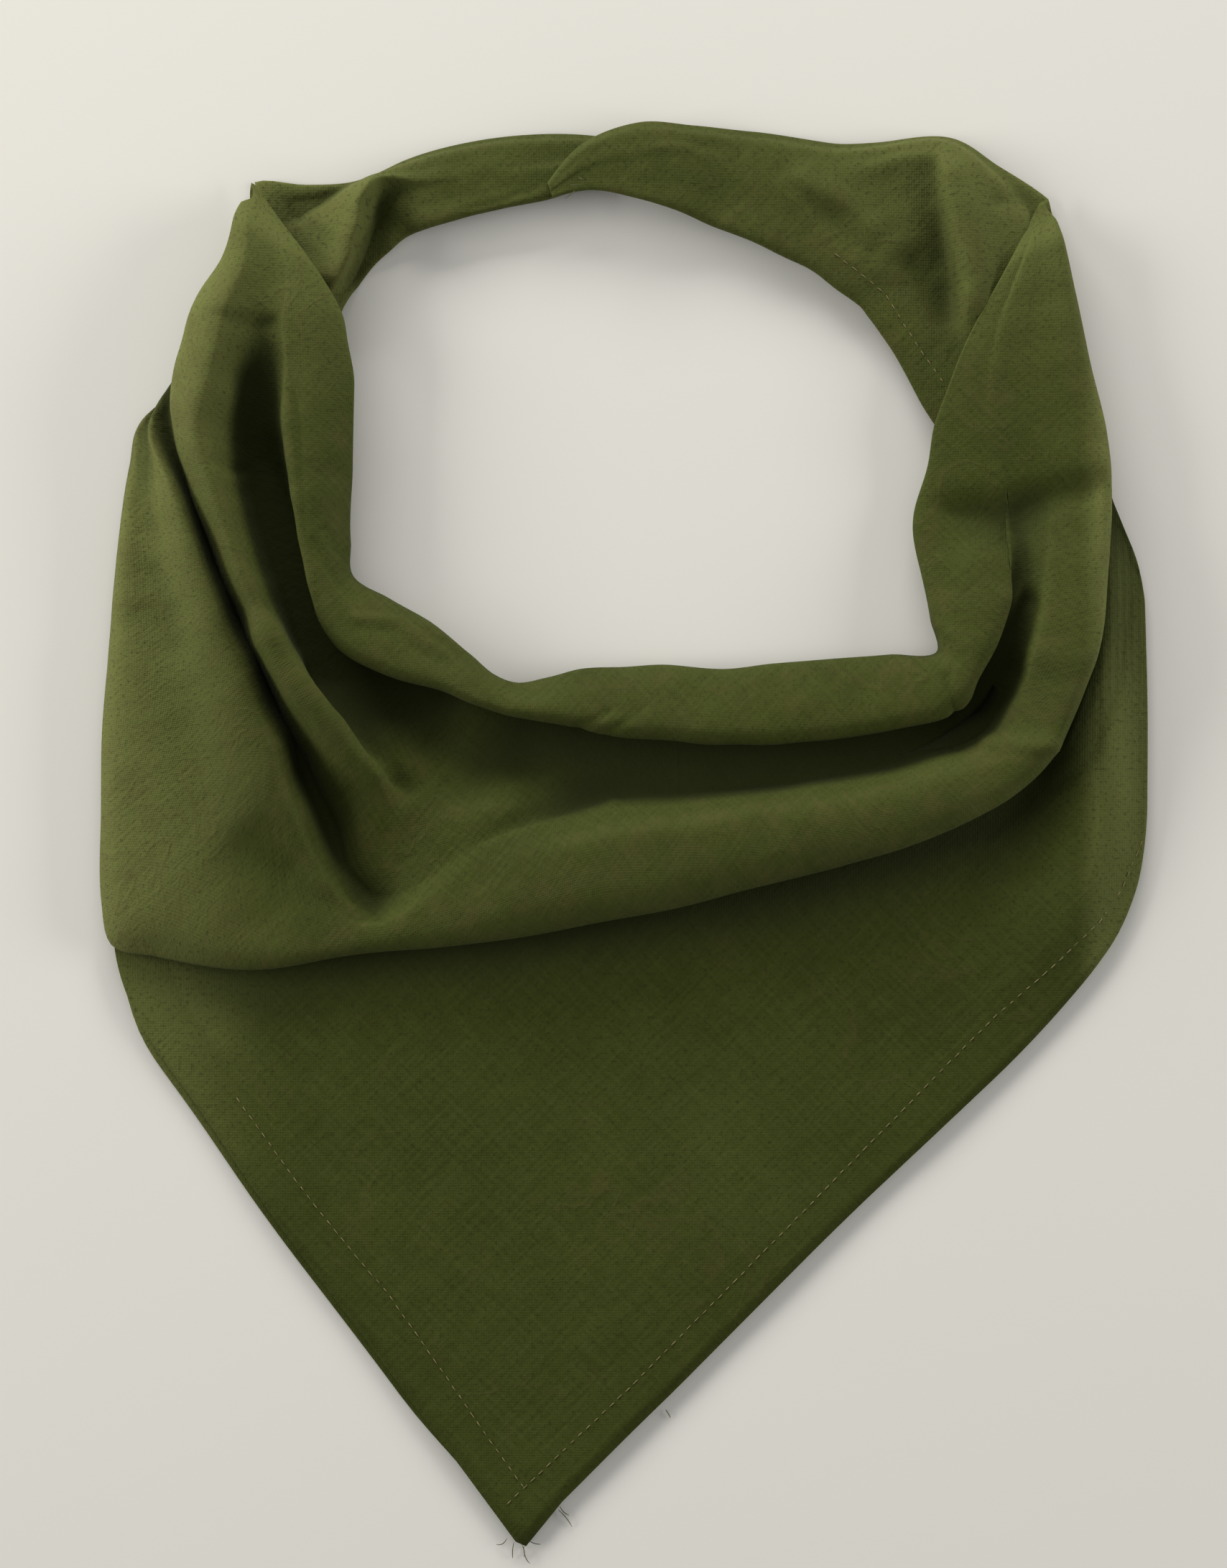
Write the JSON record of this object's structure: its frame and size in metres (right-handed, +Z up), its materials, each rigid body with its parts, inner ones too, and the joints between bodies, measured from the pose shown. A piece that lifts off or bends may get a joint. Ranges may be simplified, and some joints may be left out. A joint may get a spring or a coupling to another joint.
{
  "type": "neckerchief",
  "caption": "Square cotton neckerchief folded corner to corner and laid flat as an open neck loop with a draped pointed front.",
  "frame": {"origin": "middle of the bottom of the whole part's box, on the surface that it lies on", "axes": "+Z up from the surface, the front's point towards -Y, the tails towards +Y, +X to the right as seen from above"},
  "size_m": [0.3264, 0.4434, 0.0197],
  "materials": {
    "cotton": "plain weave olive cotton, matt, slightly worn along the folds",
    "cotton_under": "plain weave olive cotton, matt, shaded underside",
    "cotton_hem": "plain weave olive cotton, turned under and stitched once with matching thread",
    "cotton_tail": "plain weave olive cotton, matt, with faint brown wear"
  },
  "bodies": {
    "root": {"front_drape": "cotton", "under_ply": "cotton_under", "right_hem": "cotton_hem", "left_hem": "cotton_hem", "left_tail": "cotton_tail", "right_tail": "cotton_tail"}
  },
  "joints": []
}
